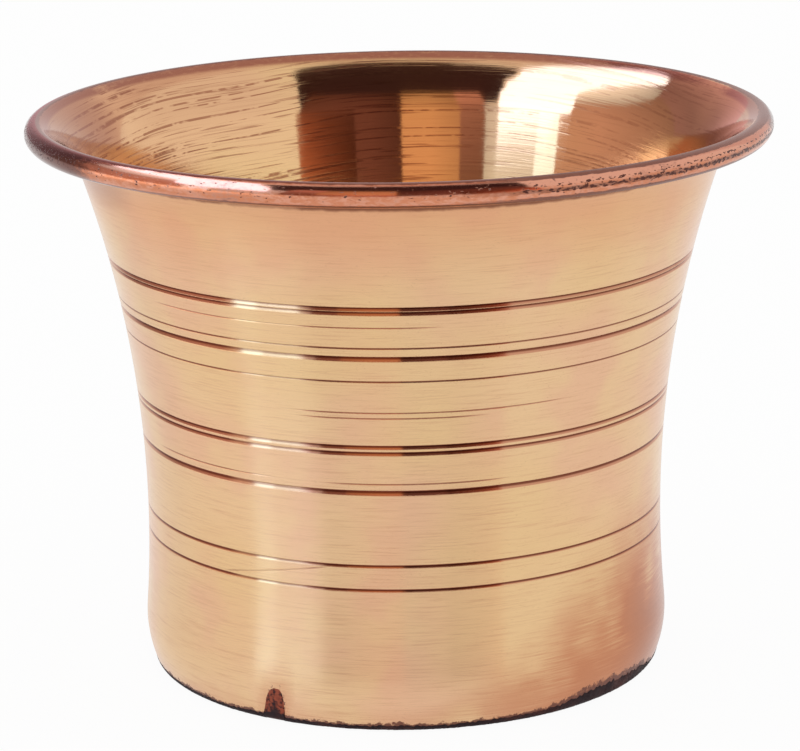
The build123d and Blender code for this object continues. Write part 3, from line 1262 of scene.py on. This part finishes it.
CARDS = (
    Card("window", (2.3, 3.0, 4.3),
         (-154.0, -150.0, -142.0, -127.0, -110.0, -97.0, -87.0, -80.0, -76.0, -73.0, -62.0, -48.0,
          -43.0, -41.0),
         (43.0, 42.0, 41.0, 46.0, 48.5, 48.0, 46.0, 39.0, 32.0, 26.0, 21.0, 22.0, 22.0, 22.0),
         (46.0, 50.0, 57.0, 65.5, 69.0, 69.0, 67.0, 66.0, 65.0, 64.0, 61.0, 49.0, 37.0, 28.0), 1.40),
    Card("window_low", (1.5, 2.0, 2.6), (-67.0, -57.5), (0.0, 0.0), (24.0, 24.0), 1.42),
    Card("window_side", (0.91, 1.0, 1.12), (-58.5, -35.5), (0.0, 0.0), (34.0, 34.0), 1.45,
         (1.0, 1.0, 1.0, 1.0, 0.85)),
    Card("window_tail", (1.8, 2.05, 2.3), (-134.0, -124.0, -106.0, -91.0, -79.0),
         (39.0, 36.0, 34.0, 35.0, 37.0), (50.0, 50.0, 50.0, 50.0, 44.0), 1.43,
         (0.31, 0.37, 0.41), 2.4),
    Card("left_near", (0.70, 0.46, 0.40), (-128.0, -66.0), (1.0, 1.0), (50.0, 50.0), 1.5,
         (0.50, 0.75, 1.0, 1.0)),
    Card("left_far", (0.90, 0.56, 0.60), (-172.0, -126.0), (1.0, 1.0), (52.0, 52.0), 1.55,
         (1.0, 0.53, 0.35, 0.42)),
    Card("front_high", (0.05, 0.024, 0.026), (-41.0, 41.0), (48.5, 48.5), (72.0, 72.0), 1.48),
    Card("front_warm", (1.08, 0.66, 0.38), (-25.0, -1.0), (6.0, 6.0), (50.0, 50.0), 1.53,
         (0.75, 1.0, 1.0), 0.5),
    Card("front_side", (0.91, 0.49, 0.41), (-37.0, -24.0), (6.0, 6.0), (50.0, 50.0), 1.55,
         (0.028, 0.0322), 30.0),
    Card("front_brown", (0.26, 0.11, 0.09), (-3.0, 41.0), (6.0, 6.0), (50.0, 50.0), 1.57,
         (0.5, 0.9, 1.0, 0.9), 0.55),
    Card("front_low", (0.75, 0.30, 0.20), (-39.0, -1.0), (2.0, 2.0), (15.5, 15.5), 1.51,
         (0.25, 0.3, 0.55, 0.6), 1.6),
    Card("front_ember", (1.0, 0.33, 0.19), (18.0, 42.0), (2.0, 2.0), (27.0, 27.0), 1.50,
         (0.2, 0.5, 1.0), 0.28),
    Card("behind", (0.84, 0.73, 0.72), (130.0, 230.0), (2.0, 2.0), (84.0, 84.0), 1.70),
    Card("overhead", (0.05, 0.024, 0.026),
         (-180.0, -140.0, -113.0, -110.0, -105.0, -97.0, -80.0, -62.0, -48.0, -43.0, -41.0, 40.0,
          44.0, 49.0, 62.0, 80.0, 98.0, 110.0, 120.0, 140.0, 180.0),
         (84.5, 83.0, 80.0, 75.0, 70.0, 69.5, 67.0, 63.0, 49.0, 37.0, 36.0, 30.0, 41.0, 53.0, 65.0,
          70.0, 73.0, 75.0, 78.0, 82.0, 84.5),
         (89.9,) * 21, 1.65),
)


class Studio:
    """Floor, light and camera round the cup."""

    camera_distance = 0.37269
    camera_elevation = 14.603
    camera_aim = 0.02951
    camera_roll = -0.856
    lens = 161.76
    shift = -0.0033
    floor_radius = 2.6

    def build(self) -> None:
        """Set up the world, the floor, the cards and the camera."""
        bpy.context.scene.view_settings.view_transform = "Standard"
        self.make_world()
        self.make_floor()
        for card in CARDS:
            card.build()
        self.make_camera()

    def seen(self, tree: bpy.types.NodeTree) -> bpy.types.NodeSocket:
        """1 for rays from the camera and for those that metal or glass sends on, and 0 for others."""
        path = tree.nodes.new("ShaderNodeLightPath")
        total = path.outputs["Is Camera Ray"]
        for name in ("Is Glossy Ray", "Is Transmission Ray"):
            either = tree.nodes.new("ShaderNodeMath")
            either.operation = "MAXIMUM"
            tree.links.new(total, either.inputs[0])
            tree.links.new(path.outputs[name], either.inputs[1])
            total = either.outputs[0]
        return total

    def make_world(self) -> None:
        """White where it is seen or reflected, and a plain level of light elsewhere."""
        world = bpy.data.worlds.new("studio")
        bpy.context.scene.world = world
        world.use_nodes = True
        tree = world.node_tree
        background = tree.nodes["Background"]
        background.inputs["Color"].default_value = (1.0, 1.0, 1.0, 1.0)
        level = tree.nodes.new("ShaderNodeMapRange")
        level.inputs["To Min"].default_value = 0.8
        level.inputs["To Max"].default_value = 1.0
        tree.links.new(self.seen(tree), level.inputs["Value"])
        tree.links.new(level.outputs["Result"], background.inputs["Strength"])

    def make_floor(self) -> None:
        """A pale floor that is nearly white to the camera and keeps a soft shadow."""
        share = np.linspace(0.0, 1.0, 48)[:, None]
        angle = np.linspace(-math.pi, math.pi, 180, endpoint=False)[None, :]
        radius = (0.001 + share**2 * self.floor_radius) / MM
        grid = spin(radius, np.zeros_like(radius), angle)
        floor = grid_mesh("floor", grid, closed_rows=False)
        floor.data.flip_normals() if floor.data.polygons[0].normal.z < 0.0 else None
        floor.location.z = -0.00002
        degrees = np.degrees(angle)
        towards = smooth_step(-116.0, -98.0, degrees) * smooth_step(-22.0, -56.0, degrees)
        set_zone(floor, Zone.GLARE, towards * smooth_step(130.0, 420.0, radius))
        bench = Bench("floor")
        nodes, links = bench.tree.nodes, bench.tree.links
        bench.connect(bench.shader.inputs["Base Color"], (0.96, 0.96, 0.96))
        bench.connect(bench.shader.inputs["Roughness"], 1.0)
        bench.connect(bench.shader.inputs["Specular IOR Level"], 0.0)
        glare = bench.mix(bench.zone(Zone.GLARE), (1.0, 1.0, 1.0), (1.9, 1.8, 1.7))
        glow = bench.node("ShaderNodeEmission", {}, {"Color": glare, "Strength": 1.0})
        blend = nodes.new("ShaderNodeMixShader")
        share_seen = Signal(bench, self.seen(bench.tree)) * 0.95
        links.new(share_seen.socket, blend.inputs["Fac"])
        links.new(bench.shader.outputs["BSDF"], blend.inputs[1])
        links.new(glow.socket, blend.inputs[2])
        links.new(blend.outputs["Shader"], nodes["Material Output"].inputs["Surface"])
        floor.data.materials.append(bench.material)

    def make_camera(self) -> None:
        """Look at the cup from the front and a little above, as the photograph does."""
        data = bpy.data.cameras.new("camera")
        data.lens = self.lens
        data.shift_x = self.shift
        camera = bpy.data.objects.new("camera", data)
        bpy.context.scene.collection.objects.link(camera)
        tilt = math.radians(self.camera_elevation)
        back = Vector((0.0, -math.cos(tilt), math.sin(tilt)))
        turn = (-back).to_track_quat("-Z", "Y").to_matrix().to_4x4()
        roll = Matrix.Rotation(math.radians(self.camera_roll), 4, "Z")
        place = Vector((0.0, 0.0, self.camera_aim)) + back * self.camera_distance
        camera.matrix_world = Matrix.Translation(place) @ turn @ roll
        bpy.context.scene.camera = camera


class Panchpatra:
    """The whole cup: its sheet, wire, base and filler."""

    def build(self) -> None:
        """Build each piece, dress it, and set it on the frame."""
        section = CupSection.from_frame()
        base = BaseDisc.from_frame()
        edge = FootEdge()
        braze = BaseBraze(section, base, edge)
        filler = BrazeFiller().material()
        self.seat(Wall(section, edge).build(), SpunCopper().material(), "wall")
        self.seat(RimWire(section).build(), DrawnWire().material(), "rim_wire")
        self.seat(base.build(), SatinBase().material(), "base_disc")
        self.seat(braze.build_ring(), filler, "base_braze")
        self.seat(braze.build_shadow_band_and_run(), filler, "base_braze")

    def seat(
        self, piece: bpy.types.Object, finish: bpy.types.Material, node: str
    ) -> None:
        """Dress a piece and let it stand for its node of the frame.

        Args:
            piece: the finished mesh.
            finish: its material.
            node: the frame's node that it stands for.
        """
        piece.data.materials.append(finish)
        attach(piece, ROOT)
        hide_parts(node)
        count = 2 * len(piece.data.polygons)
        LOG.info("%s stands for %s with %d triangles", piece.name, node, count)


def main() -> None:
    """Load the frame, build the cup and the studio, and note the sizes."""
    logging.basicConfig(level=logging.INFO, format="%(name)s: %(message)s")
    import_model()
    Panchpatra().build()
    Studio().build()
    bpy.context.view_layer.update()


if __name__ == "__main__":
    main()
